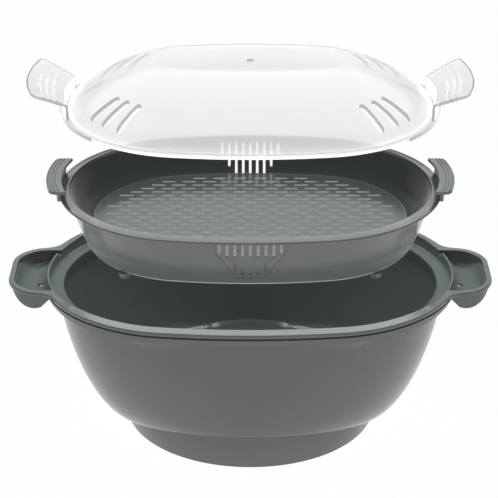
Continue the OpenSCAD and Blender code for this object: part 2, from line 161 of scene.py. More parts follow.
def plan(half_length, half_width, end_radius):
    """Four-arc oval: end centre, front centre, end radius, front radius."""
    c = half_length - end_radius
    front = (c ** 2 + half_width ** 2 - end_radius ** 2) / (2 * (half_width - end_radius))
    return (c, front - half_width, end_radius, front)


TRAY_PLAN = plan(OVAL_HALF_LENGTH, OVAL_HALF_WIDTH, OVAL_END_RADIUS)
LIP_PLAN = plan(LIP_HALF_LENGTH, OVAL_HALF_WIDTH, LIP_END_RADIUS)
OPENING_PLAN = plan(OPENING_HALF_LENGTH, OVAL_HALF_WIDTH - LEDGE_WIDTH, OPENING_END_RADIUS)
END_CENTRE = TRAY_PLAN[0]


def reach(oval, offset, angle):
    """Distance from the middle to an oval, at an offset, in the direction of an angle."""
    c, s = abs(math.cos(angle)), abs(math.sin(angle))
    end_r, front_r = oval[2] + offset, oval[3] + offset
    far = math.hypot(oval[0], oval[1])
    if s * (oval[0] + end_r * oval[0] / far) <= c * end_r * oval[1] / far:
        return oval[0] * c + math.sqrt(end_r ** 2 - (oval[0] * s) ** 2)
    return -oval[1] * s + math.sqrt(front_r ** 2 - (oval[1] * c) ** 2)


def angles(count):
    return [2 * math.pi * j / count for j in range(count)]


def level_ring(oval, offset, z, count=AROUND):
    ring = []
    for a in angles(count):
        r = reach(oval, offset, a)
        ring.append((r * math.cos(a), r * math.sin(a), z))
    return ring


def circle(radius, z, x=0.0, y=0.0, count=AROUND):
    return [(x + radius * math.cos(a), y + radius * math.sin(a), z) for a in angles(count)]


def arc(x, y, radius, start, end, count):
    """Points on an arc, angles in degrees."""
    turns = [math.radians(start + (end - start) * i / count) for i in range(count + 1)]
    return [(x + radius * math.cos(t), y + radius * math.sin(t)) for t in turns]


def rounded(points, radius, count=4):
    """A closed outline with each corner cut to a round of at most that radius."""
    out = []
    total = len(points)
    for i in range(total):
        before, here, after = (Vector(points[(i + k) % total]) for k in (-1, 0, 1))
        a, b = before - here, after - here
        r = min(radius, 0.45 * a.length, 0.45 * b.length)
        start, end = here + a.normalized() * r, here + b.normalized() * r
        for k in range(count + 1):
            t = k / count
            p = start * (1 - t) ** 2 + here * 2 * t * (1 - t) + end * t ** 2
            out.append((p.x, p.y))
    return out


# Meshes

def new_object(name, mesh):
    obj = bpy.data.objects.new(name, mesh)
    bpy.context.scene.collection.objects.link(obj)
    return obj


def clean(mesh, sharp=32.0):
    """Closes seams, turns faces outwards and shades smooth up to a sharp edge."""
    bm = bmesh.new()
    bm.from_mesh(mesh)
    bmesh.ops.remove_doubles(bm, verts=bm.verts, dist=2e-6)
    bmesh.ops.recalc_face_normals(bm, faces=bm.faces)
    bm.to_mesh(mesh)
    bm.free()
    mesh.shade_smooth()
    mesh.set_sharp_from_angle(angle=math.radians(sharp))


def mesh_object(name, points, faces, sharp=32.0):
    mesh = bpy.data.meshes.new(name)
    mesh.from_pydata([(x * MM, y * MM, z * MM) for x, y, z in points], [], faces)
    clean(mesh, sharp)
    return new_object(name, mesh)


def loft(rings, wrap=True):
    """Points and faces of a skin through closed rings.
    With wrap the last ring joins the first, and without it both are capped."""
    around = len(rings[0])
    points = [p for ring in rings for p in ring]
    faces = []
    for i in range(len(rings) if wrap else len(rings) - 1):
        a, b = i * around, (i + 1) % len(rings) * around
        for j in range(around):
            k = (j + 1) % around
            faces.append((a + j, a + k, b + k, b + j))
    if not wrap:
        faces.append(tuple(range(around)))
        faces.append(tuple(range((len(rings) - 1) * around, len(rings) * around)))
    return points, faces


def ring_body(name, profile, oval, lift, sharp=32.0):
    """A profile (offset from the oval, height) taken all the way round."""
    rings = [level_ring(oval, offset, lift + z) for offset, z in profile]
    return mesh_object(name, *loft(rings), sharp)


def hole_cutter(name, diameter, x, y, low, high):
    return mesh_object(name, *loft([circle(diameter / 2, z, x, y, 40) for z in (low, high)], wrap=False))


def end_body(name, profile_at, side, lift, half_angle=0.0, half_length=0.0):
    """A profile taken round part of an end, where profile_at gives it at a share of the way, -1 to 1.
    It ends square to its run at half_angle, or is cut straight across at half_length."""
    rings = []
    for i in range(57):
        share = math.sin(math.pi * (i / 56 - 0.5))
        ring = []
        for offset, z in profile_at(share):
            r = OVAL_END_RADIUS + offset
            turn = math.asin(half_length * share / r) if half_length else half_angle * share
            ring.append((side * (END_CENTRE + r * math.cos(turn)), r * math.sin(turn), lift + z))
        rings.append(ring)
    return mesh_object(name, *loft(rings, wrap=False))


def mesh_from(obj, name):
    """A plain mesh object made from an object as its modifiers leave it, which it replaces."""
    depsgraph = bpy.context.evaluated_depsgraph_get()
    mesh = bpy.data.meshes.new_from_object(obj.evaluated_get(depsgraph), depsgraph=depsgraph)
    mesh.transform(obj.matrix_world)
    bpy.data.objects.remove(obj)
    mesh.name = name
    return new_object(name, mesh)


def cut(obj, *cutters):
    """obj less the cutters, which are used up."""
    name = obj.name
    for cutter in cutters:
        modifier = obj.modifiers.new("cut", "BOOLEAN")
        modifier.operation = "DIFFERENCE"
        modifier.solver = "EXACT"
        modifier.object = cutter
    made = mesh_from(obj, name)
    for cutter in cutters:
        bpy.data.objects.remove(cutter)
    clean(made.data)
    return made


def flat_plate(name, outlines, bottom, top, edge):
    """A flat plate with holes and rounded edges: outlines[0] is its edge and the rest are holes."""
    curve = bpy.data.curves.new(name, "CURVE")
    curve.dimensions = "2D"
    curve.fill_mode = "BOTH"
    curve.extrude = (top - bottom) / 2 * MM - edge * MM
    curve.bevel_depth = edge * MM
    curve.bevel_resolution = 3
    curve.offset = -edge * MM
    for outline in outlines:
        spline = curve.splines.new("POLY")
        spline.points.add(len(outline) - 1)
        for point, (x, y) in zip(spline.points, outline):
            point.co = (x * MM, y * MM, 0, 1)
        spline.use_cyclic_u = True
    obj = new_object(name, curve)
    obj.location.z = (top + bottom) / 2 * MM
    bpy.context.view_layer.update()
    made = mesh_from(obj, name)
    clean(made.data, 50)
    return made


# Geometry Nodes

class Tree:
    """A Geometry Nodes tree with named inputs, and short calls to add and join its nodes."""

    def __init__(self, name, **inputs):
        self.tree = bpy.data.node_groups.new(name, "GeometryNodeTree")
        face = self.tree.interface
        face.new_socket("Geometry", in_out="INPUT", socket_type="NodeSocketGeometry")
        self.ids = {}
        for label, value in inputs.items():
            kind = "NodeSocketInt" if isinstance(value, int) else "NodeSocketFloat"
            title = label.replace("_", " ").title()
            item = face.new_socket(title, in_out="INPUT", socket_type=kind)
            item.default_value = value
            self.ids[label] = (title, item.identifier)
        item = face.new_socket("Material", in_out="INPUT", socket_type="NodeSocketMaterial")
        self.material_id = item.identifier
        face.new_socket("Geometry", in_out="OUTPUT", socket_type="NodeSocketGeometry")
        self.input = self.tree.nodes.new("NodeGroupInput")
        self.output = self.tree.nodes.new("NodeGroupOutput")

    def node(self, kind, values=(), **settings):
        made = self.tree.nodes.new(kind)
        for key, value in settings.items():
            setattr(made, key, value)
        for key, value in dict(values).items():
            if hasattr(value, "is_output"):
                self.tree.links.new(value, made.inputs[key])
            else:
                made.inputs[key].default_value = value
        return made

    def size(self, label):
        return self.input.outputs[self.ids[label][0]]

    def math(self, operation, a, b):
        return self.node("ShaderNodeMath", {0: a, 1: b}, operation=operation).outputs[0]

    def finish(self, geometry):
        whole = self.node("GeometryNodeRealizeInstances", {"Geometry": geometry})
        painted = self.node("GeometryNodeSetMaterial", {"Geometry": whole.outputs[0]})
        self.tree.links.new(self.input.outputs["Material"], painted.inputs["Material"])
        self.tree.links.new(painted.outputs[0], self.output.inputs[0])

    def apply(self, obj, material, **sizes):
        """The plain mesh that the tree makes of obj."""
        modifier = obj.modifiers.new("tree", "NODES")
        modifier.node_group = self.tree
        for label, value in sizes.items():
            modifier[self.ids[label][1]] = value
        modifier[self.material_id] = material
        return mesh_from(obj, obj.name)


def slot_face(tree):
    """A slot's flat outline with rounded ends, as a curve round the origin."""
    box = tree.node("GeometryNodeCurvePrimitiveQuadrilateral",
                    {"Width": tree.size("slot_length"), "Height": tree.size("slot_width")})
    round_ends = tree.math("MULTIPLY", tree.size("slot_width"), 0.48)
    return tree.node("GeometryNodeFilletCurve", {"Curve": box.outputs[0], "Radius": round_ends, "Count": 3},
                     mode="POLY").outputs[0]


def extruded(tree, face, height):
    """A flat face given a height, closed below."""
    along = tree.node("ShaderNodeCombineXYZ", {"Z": height}).outputs[0]
    raised = tree.node("GeometryNodeExtrudeMesh", {"Mesh": face, "Offset": along, "Offset Scale": 1.0,
                                                   "Individual": False})
    below = tree.node("GeometryNodeFlipFaces", {"Mesh": face})
    both = tree.node("GeometryNodeJoinGeometry")
    tree.tree.links.new(raised.outputs["Mesh"], both.inputs[0])
    tree.tree.links.new(below.outputs[0], both.inputs[0])
    whole = tree.node("GeometryNodeMergeByDistance", {"Geometry": both.outputs[0], "Distance": 1e-6})
    return whole.outputs[0]


def slotted_plate_tree():
    """A plate with an outline and slots: the mesh has the outline's edges, and a loose point at each slot."""
    tree = Tree("Slotted plate", slot_length=0.0114, slot_width=0.0023, plate=0.0024)
    place = tree.node("GeometryNodeInputNamedAttribute", {"Name": "slot_place"}, data_type="BOOLEAN")
    parts = tree.node("GeometryNodeSeparateGeometry",
                      {"Geometry": tree.input.outputs["Geometry"], "Selection": place.outputs["Attribute"]},
                      domain="POINT")
    slots = tree.node("GeometryNodeInstanceOnPoints",
                      {"Points": parts.outputs[0], "Instance": slot_face(tree)})
    cuts = tree.node("GeometryNodeRealizeInstances", {"Geometry": slots.outputs[0]})
    edge = tree.node("GeometryNodeMeshToCurve", {"Mesh": parts.outputs[1]})
    both = tree.node("GeometryNodeJoinGeometry")
    tree.tree.links.new(cuts.outputs[0], both.inputs[0])
    tree.tree.links.new(edge.outputs[0], both.inputs[0])
    face = tree.node("GeometryNodeFillCurve", {"Curve": both.outputs[0]})
    tree.finish(extruded(tree, face.outputs[0], tree.size("plate")))
    return tree


def slot_cutter_tree():
    """Upright slot cutters, one at each point, turned by the point's own angle."""
    tree = Tree("Slot cutters", slot_length=0.023, slot_width=0.0042, cut_height=0.05)
    turn = tree.node("GeometryNodeInputNamedAttribute", {"Name": "turn"}, data_type="FLOAT")
    spin = tree.node("ShaderNodeCombineXYZ", {"Z": turn.outputs["Attribute"]})
    face = tree.node("GeometryNodeFillCurve", {"Curve": slot_face(tree)})
    prism = extruded(tree, face.outputs[0], tree.size("cut_height"))
    slots = tree.node("GeometryNodeInstanceOnPoints",
                      {"Points": tree.input.outputs["Geometry"], "Instance": prism,
                       "Rotation": spin.outputs[0]})
    tree.finish(slots.outputs[0])
    return tree


def grille_tree():
    """A row of upright slot cutters, longer towards the middle, hung from one top line."""
    tree = Tree("Grille slots", slots=9, pitch=0.0059, slot_width=0.0022, shortest=0.0105, longest=0.027,
                length_step=0.007, depth=0.024)
    line = tree.node("GeometryNodeMeshLine", {"Count": tree.size("slots")}, mode="OFFSET")
    step = tree.node("ShaderNodeCombineXYZ", {"X": tree.size("pitch")})
    tree.tree.links.new(step.outputs[0], line.inputs["Offset"])
    middle = tree.math("DIVIDE", tree.math("SUBTRACT", tree.size("slots"), 1.0), 2.0)
    index = tree.node("GeometryNodeInputIndex").outputs[0]
    away = tree.math("ABSOLUTE", tree.math("SUBTRACT", index, middle), 0.0)
    grown = tree.math("MULTIPLY", tree.math("SUBTRACT", middle, away), tree.size("length_step"))
    length = tree.math("MINIMUM", tree.math("ADD", tree.size("shortest"), grown), tree.size("longest"))
    kept = tree.node("GeometryNodeStoreNamedAttribute",
                     {"Geometry": line.outputs[0], "Name": "slot_drop", "Value": length},
                     data_type="FLOAT", domain="POINT")
    radius = tree.math("DIVIDE", tree.size("slot_width"), 2.0)
    rod = tree.node("GeometryNodeMeshCylinder",
                    {"Vertices": 16, "Radius": radius, "Depth": tree.size("depth")})
    laid = tree.node("GeometryNodeTransform",
                     {"Geometry": rod.outputs[0], "Rotation": (math.pi / 2, 0.0, 0.0)})
    rods = tree.node("GeometryNodeInstanceOnPoints", {"Points": kept.outputs[0], "Instance": laid.outputs[0]})
    whole = tree.node("GeometryNodeRealizeInstances", {"Geometry": rods.outputs[0]})
    drop = tree.node("GeometryNodeInputNamedAttribute", {"Name": "slot_drop"}, data_type="FLOAT")
    place = tree.node("GeometryNodeInputPosition")
    height = tree.node("ShaderNodeSeparateXYZ", {0: place.outputs[0]}).outputs[2]
    lower = tree.node("FunctionNodeCompare", {0: height, 1: 0.0}, data_type="FLOAT", operation="LESS_THAN")
    down = tree.math("SUBTRACT", tree.size("slot_width"), drop.outputs["Attribute"])
    shift = tree.node("ShaderNodeCombineXYZ", {"Z": down})
    drawn = tree.node("GeometryNodeSetPosition",
                      {"Geometry": whole.outputs[0], "Selection": lower.outputs[0],
                       "Offset": shift.outputs[0]})
    tree.finish(drawn.outputs[0])
    return tree


def slotted_plate(name, outline, places, bottom, thickness, material):
    """A flat plate with a slot at each place, from the slotted plate tree."""
    points = [(x * MM, y * MM, 0) for x, y in outline + places]
    edges = [(i, (i + 1) % len(outline)) for i in range(len(outline))]
    mesh = bpy.data.meshes.new(name)
    mesh.from_pydata(points, edges, [])
    flags = mesh.attributes.new("slot_place", "BOOLEAN", "POINT")
    for i in range(len(points)):
        flags.data[i].value = i >= len(outline)
    made = SLOTTED_PLATE.apply(new_object(name, mesh), material, slot_length=SLOT_LENGTH * MM,
                               slot_width=SLOT_WIDTH * MM, plate=thickness * MM)
    made.data.transform(Matrix.Translation((0, 0, bottom * MM)))
    clean(made.data)
    return made


# Materials

def shader_group(name, inputs, outputs):
    """An empty shader node group with named sockets."""
    group = bpy.data.node_groups.new(name, "ShaderNodeTree")
    for label, kind, value in inputs:
        item = group.interface.new_socket(label, in_out="INPUT", socket_type=kind)
        item.default_value = value
    for label, kind in outputs:
        group.interface.new_socket(label, in_out="OUTPUT", socket_type=kind)
    return group, group.nodes.new("NodeGroupInput"), group.nodes.new("NodeGroupOutput")


def math_node(nodes, links, operation, *values):
    """The result of a math node whose values are numbers or sockets."""
    made = nodes.new("ShaderNodeMath")
    made.operation = operation
    for socket, value in zip(made.inputs, values):
        if hasattr(value, "is_output"):
            links.new(value, socket)
        else:
            socket.default_value = value
    return made.outputs[0]


def moulded_grain_group():
    """Fine spark-eroded grain of moulded plastic: a colour, a roughness and a height."""
    group, given, put = shader_group(
        "Moulded grain",
        [("Colour", "NodeSocketColor", (0.5, 0.5, 0.5, 1)), ("Roughness", "NodeSocketFloat", 0.5),
         ("Grain Size", "NodeSocketFloat", 1500.0), ("Mottle", "NodeSocketFloat", 0.06)],
        [("Colour", "NodeSocketColor"), ("Roughness", "NodeSocketFloat"), ("Height", "NodeSocketFloat")])
    nodes, links = group.nodes, group.links
    where = nodes.new("ShaderNodeTexCoord")
    fine = nodes.new("ShaderNodeTexNoise")
    fine.inputs["Detail"].default_value = 2
    broad = nodes.new("ShaderNodeTexNoise")
    broad.inputs["Scale"].default_value = 38
    broad.inputs["Detail"].default_value = 3
    links.new(where.outputs["Object"], fine.inputs["Vector"])
    links.new(where.outputs["Object"], broad.inputs["Vector"])
    links.new(given.outputs["Grain Size"], fine.inputs["Scale"])
    spread = math_node(nodes, links, "SUBTRACT", broad.outputs["Fac"], 0.5)
    amount = math_node(nodes, links, "MULTIPLY_ADD", spread, given.outputs["Mottle"], 1)
    tint = nodes.new("ShaderNodeVectorMath")
    tint.operation = "SCALE"
    links.new(given.outputs["Colour"], tint.inputs[0])
    links.new(amount, tint.inputs["Scale"])
    rough = math_node(nodes, links, "MULTIPLY", given.outputs["Roughness"], amount)
    links.new(tint.outputs[0], put.inputs["Colour"])
    links.new(rough, put.inputs["Roughness"])
    links.new(fine.outputs["Fac"], put.inputs["Height"])
    return group


def plastic(name, colour, roughness, mottle=0.06, bump=0.05):
    """A moulded plastic with the shared grain; returns the material and its Principled shader."""
    material = bpy.data.materials.new(name)
    material.use_nodes = True
    nodes, links = material.node_tree.nodes, material.node_tree.links
    shader = nodes["Principled BSDF"]
    grain = nodes.new("ShaderNodeGroup")
    grain.node_tree = MOULDED_GRAIN
    grain.inputs["Colour"].default_value = (*colour, 1)
    grain.inputs["Roughness"].default_value = roughness
    grain.inputs["Mottle"].default_value = mottle
    relief = nodes.new("ShaderNodeBump")
    relief.inputs["Strength"].default_value = bump
    relief.inputs["Distance"].default_value = 0.0002
    links.new(grain.outputs["Colour"], shader.inputs["Base Color"])
    links.new(grain.outputs["Roughness"], shader.inputs["Roughness"])
    links.new(grain.outputs["Height"], relief.inputs["Height"])
    links.new(relief.outputs[0], shader.inputs["Normal"])
    return material, shader


def clear_plastic(name, colour, roughness, alpha):
    """Clear plastic that veils what is behind it once for each shell, on the faces that look at the eye."""
    material, shader = plastic(name, colour, roughness, mottle=0.02, bump=0.01)
    shader.inputs["Alpha"].default_value = alpha
    nodes, links = material.node_tree.nodes, material.node_tree.links
    facing = nodes.new("ShaderNodeNewGeometry")
    passing = nodes.new("ShaderNodeBsdfTransparent")
    mix = nodes.new("ShaderNodeMixShader")
    links.new(facing.outputs["Backfacing"], mix.inputs[0])
    links.new(shader.outputs[0], mix.inputs[1])
    links.new(passing.outputs[0], mix.inputs[2])
    links.new(mix.outputs[0], nodes["Material Output"].inputs["Surface"])
    return material


MOULDED_GRAIN = moulded_grain_group()
GREY_PLASTIC, grey_shader = plastic("Grey moulded plastic", (0.132, 0.148, 0.138), 0.2)
grey_shader.inputs["IOR"].default_value = 1.6
CLEAR_PLASTIC = clear_plastic("Clear lid plastic", (0.88, 0.885, 0.89), 0.18, 0.8)
# Painted shade: a dark grey on the lid's slot walls, flange edges and tab edges, standing in for the
# darkening that thick clear plastic shows at its edges.
CLEAR_PAINTED_SHADE = clear_plastic("Clear lid edge painted shade", (0.24, 0.245, 0.25), 0.2, 0.8)
# Painted light: a much lighter grey of the same plastic, standing in for light from below on the tray's
# bottom edge, the riser behind the grilles and the floor's slot walls.
GREY_PAINTED_LIGHT = plastic("Grey plastic painted lighter as lit from below", (0.58, 0.62, 0.59), 0.3)[0]
SLOTTED_PLATE = slotted_plate_tree()
SLOT_CUTTERS = slot_cutter_tree()
GRILLE_SLOTS_TREE = grille_tree()


def finish_piece(obj, node, body, material):
    """Paints a piece, sets it on its body and lets it stand for its CAD node."""
    obj.data.materials.clear()
    obj.data.materials.append(material)
    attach(obj, body)
    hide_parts(node)


def paint_faces_light_and_shade(obj, material, chosen):
    """Gives the chosen faces a second material: painted light on the tray, painted shade on the lid."""
    obj.data.materials.append(material)
    for face in obj.data.polygons:
        if chosen(face):
            face.material_index = 1


# Bowl

RIM_BOTTOM = BOWL_HEIGHT - LIP_FACE
LEDGE_TOP = BOWL_HEIGHT - LEDGE_DEPTH
WALL_TOP = RIM_BOTTOM - 2.8
OUTER_WALL = LIP_WIDTH - 2.8
TROUGH_X = HANDLE_REACH - TROUGH_RADIUS - 2
TROUGH_Z = BOWL_HEIGHT - TROUGH_DEPTH + TROUGH_RADIUS


def wall_in(down):
    """Share of the way in that the bowl's wall has come, at a share of its way down."""
    return 1 - (1 - min(down, 1.0) ** 1.4) ** 0.54


def crease_height(angle):
    return FOOT_END_HEIGHT + (FOOT_FRONT_HEIGHT - FOOT_END_HEIGHT) * abs(math.sin(angle)) ** 1.5


def wall_ring(offset, foot_r, lift, down):
    ring = []
    for a in angles(AROUND):
        top_r = reach(TRAY_PLAN, offset, a)
        bottom_z = crease_height(a) + lift
        r = top_r + (foot_r - top_r) * wall_in(down)
        ring.append((r * math.cos(a), r * math.sin(a), WALL_TOP + (bottom_z - WALL_TOP) * down))
    return ring


def inside_ring(offset, down, inward=0, lift=0):
    """The inside of the bowl's wall, down to the level of the floor."""
    floor_z = FLOOR_HEIGHT + 0.15
    foot_r = FOOT_RADIUS - FOOT_WALL
    ring = []
    for a in angles(AROUND):
        top_r = reach(TRAY_PLAN, offset, a)
        end_z = min(crease_height(a) + 1.4, floor_z)
        d = down * (WALL_TOP - floor_z) / (WALL_TOP - end_z)
        r = top_r + (foot_r - top_r) * wall_in(d) - inward
        ring.append((r * math.cos(a), r * math.sin(a), WALL_TOP + (floor_z - WALL_TOP) * down + lift))
    return ring


def band_ring(offset, z):
    """Outside of the band under the lip, drawn in to the fin inside each handle."""
    ring = []
    half = HANDLE_WIDTH / 2 - HANDLE_LIP
    for a in angles(AROUND):
        y = abs(math.sin(a)) * reach(LIP_PLAN, 0, a)
        widen = min(max((y - half + 9) / 9, 0), 1) if math.cos(a) ** 2 > 0.5 else 1
        narrow = min(offset, FIN_THICKNESS)
        r = reach(LIP_PLAN, narrow + (offset - narrow) * widen, a)
        ring.append((r * math.cos(a), r * math.sin(a), z))
    return ring


def make_bowl_shell():
    inner = OUTER_WALL - BOWL_WALL
    steps = 40
    down = [1 - (1 - i / steps) ** 1.8 for i in range(steps + 1)]
    rings = [wall_ring(OUTER_WALL, FOOT_RADIUS + 2.5, 0, d) for d in down if d > 0.075]
    rings.append(wall_ring(OUTER_WALL, FOOT_RADIUS + 1.7, -0.7, 1))
    rings.append(wall_ring(OUTER_WALL, FOOT_RADIUS + 0.1, -0.4, 1))
    floor_r = FOOT_RADIUS - FOOT_WALL - 1
    rings.append(circle(floor_r, FLOOR_HEIGHT + 0.15))
    rings += [inside_ring(inner, 1, 0.6), inside_ring(inner, 1, 0, 0.5)]
    rings += [inside_ring(inner, d) for d in reversed(down) if 0.11 < d < 0.99]
    # The ledge that the tray sits on, the inside of the lip, then the groove and ridge under the lip
    for offset, z in ((-0.1, -2.4), (-0.1, -0.3), (0.1, 0.15), (0.7, 0.15), (1.0, -0.1)):
        rings.append(level_ring(OPENING_PLAN, offset, LEDGE_TOP + z))
    for offset, z in ((-0.8, -0.1), (-0.2, 0.2), (0, 0.8)):
        rings.append(level_ring(LIP_PLAN, offset, LEDGE_TOP + z))
    rings.append(level_ring(LIP_PLAN, 0, RIM_BOTTOM + 0.2))
    for inward, z in ((1.8, 0.2), (1.8, -0.7), (0.6, -1.0), (0.2, -1.4), (0.4, -2.0), (1.6, -2.6),
                      (3.0, -3.2)):
        rings.append(band_ring(LIP_WIDTH - inward, RIM_BOTTOM + z))
    for inward, z in ((3.4, -2.0), (3.6, -3.4)):
        rings.append(band_ring(LIP_WIDTH - inward, LEDGE_TOP + z))
    return mesh_object("bowl_shell_skin", *loft(rings))


def lip_angle(offset, y):
    """Direction of the point at that y on the lip oval's right end."""
    x = LIP_PLAN[0] + math.sqrt((LIP_PLAN[2] + offset) ** 2 - y ** 2)
    return math.atan2(y, x)


def lip_arc(offset, start, end, count):
    """Points on the lip oval between two directions."""
    out = []
    for i in range(count + 1):
        a = start + (end - start) * i / count
        r = reach(LIP_PLAN, offset, a)
        out.append((r * math.cos(a), r * math.sin(a)))
    return out


def rim_outline():
    """Outer edge of the lip and handles."""
    y = HANDLE_WIDTH / 2
    corner_x, corner_y = HANDLE_REACH - HANDLE_CORNER, y - HANDLE_CORNER
    lip_r = LIP_END_RADIUS + LIP_WIDTH
    apart = lip_r + HANDLE_SWEEP
    centre_y = y + HANDLE_SWEEP
    centre_x = LIP_PLAN[0] + math.sqrt(apart ** 2 - centre_y ** 2)
    meet = math.degrees(math.atan2(centre_y, centre_x - LIP_PLAN[0]))
    touch_y = centre_y * lip_r / apart
    touch = lip_angle(LIP_WIDTH, touch_y)
    turn = min(math.degrees(math.atan2(centre_y - corner_y, centre_x - corner_x)), 90)
    quarter = arc(corner_x, corner_y, HANDLE_CORNER, 0, turn, 18)
    quarter += arc(centre_x, centre_y, HANDLE_SWEEP, 174 + turn, 180 + meet, 12)
    quarter += lip_arc(LIP_WIDTH, touch, math.pi / 2, 80)[1:]
    back_left = [(-x, p) for x, p in reversed(quarter[:-1])]
    upper = quarter + back_left
    return upper + [(x, -p) for x, p in reversed(upper)]


def rim_hole():
    """Inner edge of the lip, opened into both troughs past the rear end of each fin."""
    y = HANDLE_WIDTH / 2 - HANDLE_LIP
    gap_y = y - FIN_GAP
    r = HANDLE_CORNER - HANDLE_LIP
    corner_x, corner_y = HANDLE_REACH - HANDLE_CORNER, HANDLE_WIDTH / 2 - HANDLE_CORNER
    right = lip_arc(0, -math.pi / 2, lip_angle(0, gap_y), 120)
    right += lip_arc(FIN_THICKNESS, lip_angle(FIN_THICKNESS, gap_y), lip_angle(FIN_THICKNESS, -y), 40)
    right += arc(corner_x, -corner_y, r, -90, 0, 14) + arc(corner_x, corner_y, r, 0, 90, 14)
    right += lip_arc(0, lip_angle(0, y), math.pi / 2, 90)
    left = [(-x, p) for x, p in reversed(right[1:-1])]
    return right + left


def make_bowl_rim():
    """The lip, whose top slopes down outwards in front and behind and is level at the handles."""
    made = flat_plate("bowl_rim_lip", [rim_outline(), rim_hole()], RIM_BOTTOM, BOWL_HEIGHT, 0.85)
    start = lip_angle(0, HANDLE_WIDTH / 2 + 3)
    wedges = []
    for side in (-1, 1):
        rings = []
        for i in range(181):
            a = start + (math.pi - 2 * start) * i / 180
            y = reach(LIP_PLAN, 0, a) * math.sin(a)
            fade = min(max((y - HANDLE_WIDTH / 2 - 3) / 34, 0), 1)
            low = BOWL_HEIGHT - 0.05
            top = low + LIP_SLOPE * fade * fade * (3 - 2 * fade)
            profile = [(0.03, low - 1.5), (0.03, top - 0.7), (0.25, top - 0.2), (0.8, top),
                       (LIP_WIDTH - 0.85, low), (LIP_WIDTH - 0.85, low - 1.5)]
            ring = []
            for offset, z in profile:
                r = reach(LIP_PLAN, offset, a)
                ring.append((r * math.cos(a), side * r * math.sin(a), z))
            rings.append(ring)
        wedges.append(mesh_object("lip_slope", *loft(rings, wrap=False)))
    return joined(made, *wedges)


def trough_outline(inset, fin):
    """Plan of a trough, anticlockwise from its front corner by the fin."""
    y = HANDLE_WIDTH / 2 - inset
    r = HANDLE_CORNER - inset
    corner_x, corner_y = HANDLE_REACH - HANDLE_CORNER, HANDLE_WIDTH / 2 - HANDLE_CORNER
    out = arc(corner_x, -corner_y, r, -90, 0, 16) + arc(corner_x, corner_y, r, 0, 90, 16)
    return out + lip_arc(fin, lip_angle(fin, y), lip_angle(fin, -y), 40)


def trough_skin(outline, radius, fillet):
    """Rings from a trough's top edge down its upright sides and over its round bottom."""
    middle = (TROUGH_X, 0)
    shares = [1, 0.995, 0.98, 0.95, 0.9, 0.82, 0.7, 0.55, 0.4, 0.25, 0.12, 0.04]
    rings = [[(x, y, RIM_BOTTOM + 0.2) for x, y in outline]]
    for share in shares:
        ring = []
        for x, y in outline:
            px = middle[0] + (x - middle[0]) * share
            py = middle[1] + (y - middle[1]) * share
            away = math.hypot(x - px, y - py)
            z = TROUGH_Z - math.sqrt(max(radius ** 2 - (px - TROUGH_X) ** 2, 0.3))
            if away < fillet:
                z += fillet - math.sqrt(fillet ** 2 - (fillet - away) ** 2)
            ring.append((px, py, min(z, RIM_BOTTOM)))
        rings.append(ring)
    return rings


def make_handle(side):
    inner = trough_skin(trough_outline(HANDLE_LIP - 0.6, FIN_THICKNESS + 0.6),
                        TROUGH_RADIUS - TROUGH_WALL, 2.5)
    outer = trough_skin(trough_outline(1.2, FIN_THICKNESS + 0.1), TROUGH_RADIUS, 0)
    rings = list(reversed(inner)) + outer
    rings = [[(side * x, y, z) for x, y, z in ring] for ring in rings]
    name = "handle_left_trough" if side < 0 else "handle_right_trough"
    made = mesh_object(name, *loft(rings, wrap=False), 40)
    drain_x = side * (TROUGH_X - DRAIN_INWARD)
    return cut(made, hole_cutter("drain_cutter", DRAIN_DIAMETER, drain_x, DRAIN_Y, 90, 130))


def make_foot_ring():
    """The round foot, whose top follows the crease under the wall."""
    inside = FOOT_RADIUS - FOOT_WALL
    bottom = [(inside, 0.8), (inside + 0.25, 0.25), (inside + 0.8, 0),
              (FOOT_RADIUS - 0.8, 0), (FOOT_RADIUS - 0.25, 0.25), (FOOT_RADIUS, 0.8)]
    rings = [circle(r, z) for r, z in bottom]
    for r, under in ((FOOT_RADIUS, -9), (FOOT_RADIUS - 1.5, 0.4), (inside, 0.7)):
        rings.append([(r * math.cos(a), r * math.sin(a), min(crease_height(a) - 0.2, FLOOR_HEIGHT - under))
                      for a in angles(AROUND)])
    return mesh_object("foot_ring_wall", *loft(rings))


def slot_places(rows, first_shift, half_at):
    """Places of staggered slots; half_at gives a row's half length at its y."""
    places = []
    middle = (rows - 1) / 2
    for row in range(rows):
        y = (row - middle) * SLOT_ROW_PITCH
        shift = first_shift if row % 2 == 0 else SLOT_PITCH / 2 - first_shift
        for i in range(-9, 10):
            x = i * SLOT_PITCH + shift
            if abs(x) <= half_at(y):
                places.append((x, y))
    return places


def make_bowl_floor():
    r = FOOT_RADIUS - FOOT_WALL
    rows = int((r - 18) / SLOT_ROW_PITCH)
    first = 0 if rows % 2 == 0 else SLOT_PITCH / 2
    places = slot_places(2 * rows + 1, first, lambda y: math.sqrt((r - 16) ** 2 - y ** 2) - SLOT_LENGTH / 2)
    outline = [(r * math.cos(a), r * math.sin(a)) for a in angles(160)]
    bottom = FLOOR_HEIGHT - FLOOR_PLATE
    return slotted_plate("bowl_floor_plate", outline, places, bottom, FLOOR_PLATE, GREY_PLASTIC)


# Tray

FLANGE_OUT = -TRAY_GAP
TRAY_IN = FLANGE_OUT - FLANGE_WIDTH
TRAY_OUT = TRAY_IN + TRAY_WALL
FLOOR_OFFSET = TRAY_IN - TRAY_FLOOR_INSET
GUTTER_OFFSET = FLOOR_OFFSET + 6.2


def tray_wall_point(top, bottom, depth, down):
    share = 1 - (1 - down) ** 0.8
    return (top + (bottom - top) * share, -FLANGE_THICKNESS - (depth - FLANGE_THICKNESS) * down)


